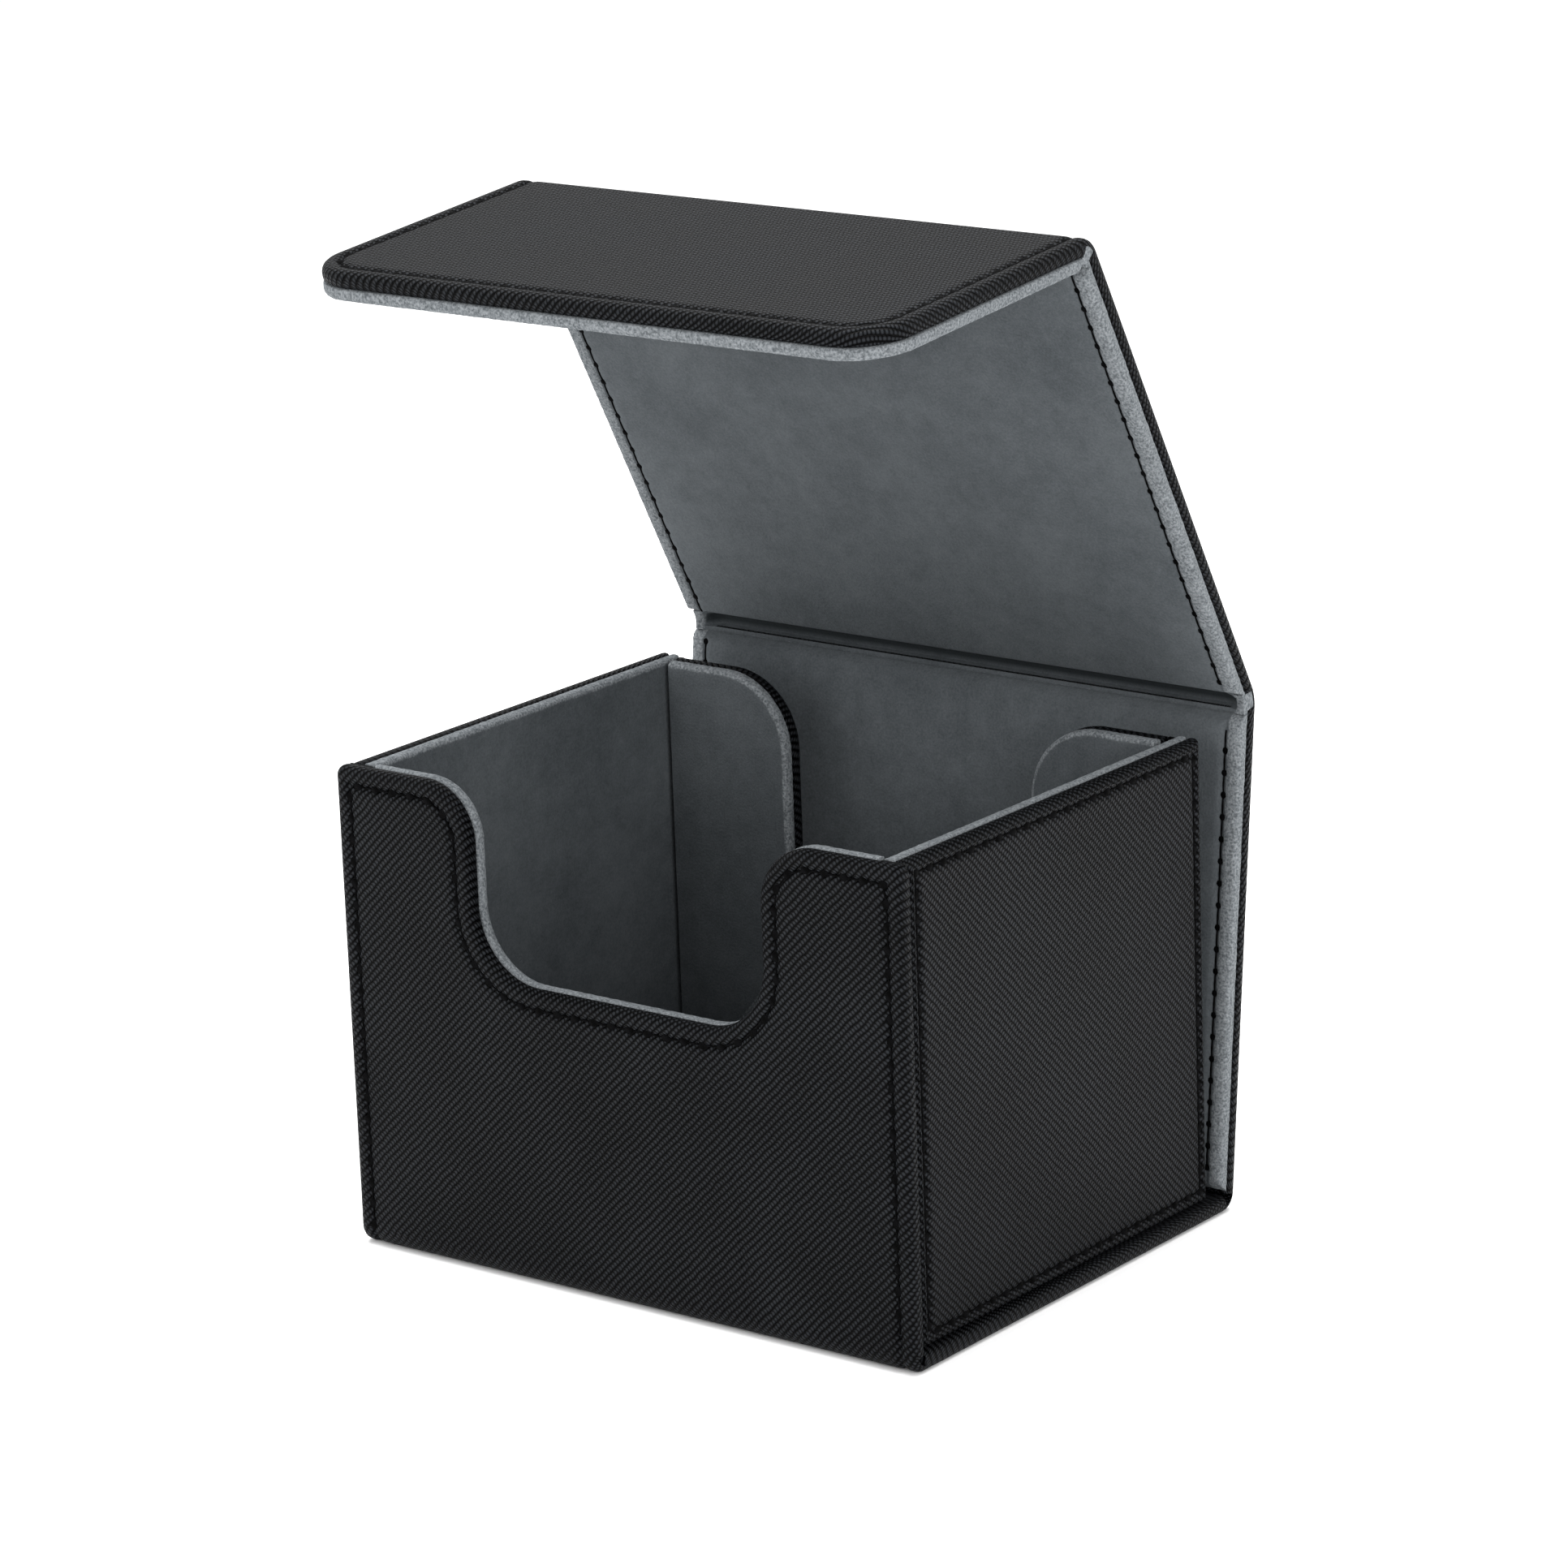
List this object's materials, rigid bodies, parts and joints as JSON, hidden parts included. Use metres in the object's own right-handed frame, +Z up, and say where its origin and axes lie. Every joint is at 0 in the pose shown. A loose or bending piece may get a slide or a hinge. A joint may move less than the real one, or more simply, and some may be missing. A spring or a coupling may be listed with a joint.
{
  "type": "card deck box",
  "caption": "Folding card deck box of leather-covered board with a suede lining, a flip lid with a magnetic front flap and a thumb cut-out in the front wall.",
  "frame": {"origin": "middle of the bottom panel's underside, on the surface that the box stands on", "axes": "+X to the right seen from the front, +Y towards the back panel, +Z up; the thumb cut-out faces -Y"},
  "size_m": [0.105, 0.0932, 0.1563],
  "materials": {
    "black_leather": "cross-grain embossed PU leather, matte",
    "grey_suede": "brushed microsuede",
    "black_thread": "polyester sewing thread",
    "hinge_cloth": "woven hinge tape",
    "greyboard": "grey chipboard",
    "magnet_steel": "nickel-plated disc magnet"
  },
  "bodies": {
    "bottom": {"back_fold_leather": "black_leather", "back_fold_lining": "grey_suede", "bottom_board": "greyboard", "bottom_cover": "black_leather", "bottom_lining": "grey_suede", "bottom_stitching": "black_thread", "front_fold_leather": "black_leather", "front_fold_lining": "grey_suede"},
    "front": {"front_board": "greyboard", "front_cover": "black_leather", "front_lining": "grey_suede", "front_magnets": "magnet_steel", "front_stitching": "black_thread", "left_side_hinge_tape": "hinge_cloth", "right_side_hinge_tape": "hinge_cloth"},
    "back": {"back_board": "greyboard", "back_cover": "black_leather", "back_lining": "grey_suede", "back_magnets": "magnet_steel", "back_stitching": "black_thread", "lid_fold_leather": "black_leather", "lid_fold_lining": "grey_suede"},
    "lid": {"flap_fold_leather": "black_leather", "flap_fold_lining": "grey_suede", "lid_board": "greyboard", "lid_cover": "black_leather", "lid_lining": "grey_suede", "lid_stitching": "black_thread"},
    "front_flap": {"front_flap_board": "greyboard", "front_flap_cover": "black_leather", "front_flap_lining": "grey_suede", "front_flap_magnets": "magnet_steel", "front_flap_stitching": "black_thread"},
    "left_side": {"left_rear_corner_leather": "black_leather", "left_side_board": "greyboard", "left_side_cover": "black_leather", "left_side_lining": "grey_suede", "left_side_stitching": "black_thread"},
    "right_side": {"right_rear_corner_leather": "black_leather", "right_side_board": "greyboard", "right_side_cover": "black_leather", "right_side_lining": "grey_suede", "right_side_stitching": "black_thread"},
    "left_rear_flap": {"left_rear_flap_board": "greyboard", "left_rear_flap_cover": "black_leather", "left_rear_flap_lining": "grey_suede", "left_rear_flap_magnet": "magnet_steel", "left_rear_flap_stitching": "black_thread"},
    "right_rear_flap": {"right_rear_flap_board": "greyboard", "right_rear_flap_cover": "black_leather", "right_rear_flap_lining": "grey_suede", "right_rear_flap_magnet": "magnet_steel", "right_rear_flap_stitching": "black_thread"}
  },
  "joints": [
    {"name": "front_fold", "type": "hinge", "parent": "bottom", "child": "front", "pos_m": [0, -0.0406, 0.001], "axis": [1, 0, 0], "range_deg": [0, 90], "deforming": ["front_fold_leather", "front_fold_lining"]},
    {"name": "back_fold", "type": "hinge", "parent": "bottom", "child": "back", "pos_m": [0, 0.0406, 0.001], "axis": [-1, 0, 0], "range_deg": [-7.1, 84], "deforming": ["back_fold_leather", "back_fold_lining"]},
    {"name": "lid_fold", "type": "hinge", "parent": "back", "child": "lid", "pos_m": [0, 0.04883, 0.07927], "axis": [-1, 0, 0], "range_deg": [-54.3, 34], "deforming": ["lid_fold_leather", "lid_fold_lining"]},
    {"name": "flap_fold", "type": "hinge", "parent": "lid", "child": "front_flap", "pos_m": [0, 0.00831, 0.15547], "axis": [-1, 0, 0], "range_deg": [-22.7, 67.3], "deforming": ["flap_fold_leather", "flap_fold_lining"]},
    {"name": "left_side_fold", "type": "hinge", "parent": "front", "child": "left_side", "pos_m": [-0.0517, -0.0388, 0.0394], "axis": [0, 0, 1], "range_deg": [0, 90], "deforming": ["left_side_hinge_tape"]},
    {"name": "right_side_fold", "type": "hinge", "parent": "front", "child": "right_side", "pos_m": [0.0517, -0.0388, 0.0394], "axis": [0, 0, -1], "range_deg": [0, 90], "deforming": ["right_side_hinge_tape"]},
    {"name": "left_rear_flap_fold", "type": "hinge", "parent": "left_side", "child": "left_rear_flap", "pos_m": [-0.0468, 0.0305, 0.0404], "axis": [0, 0, -1], "range_deg": [0, 88], "deforming": ["left_rear_corner_leather"]},
    {"name": "right_rear_flap_fold", "type": "hinge", "parent": "right_side", "child": "right_rear_flap", "pos_m": [0.0468, 0.0305, 0.0404], "axis": [0, 0, 1], "range_deg": [0, 88], "deforming": ["right_rear_corner_leather"]}
  ]
}
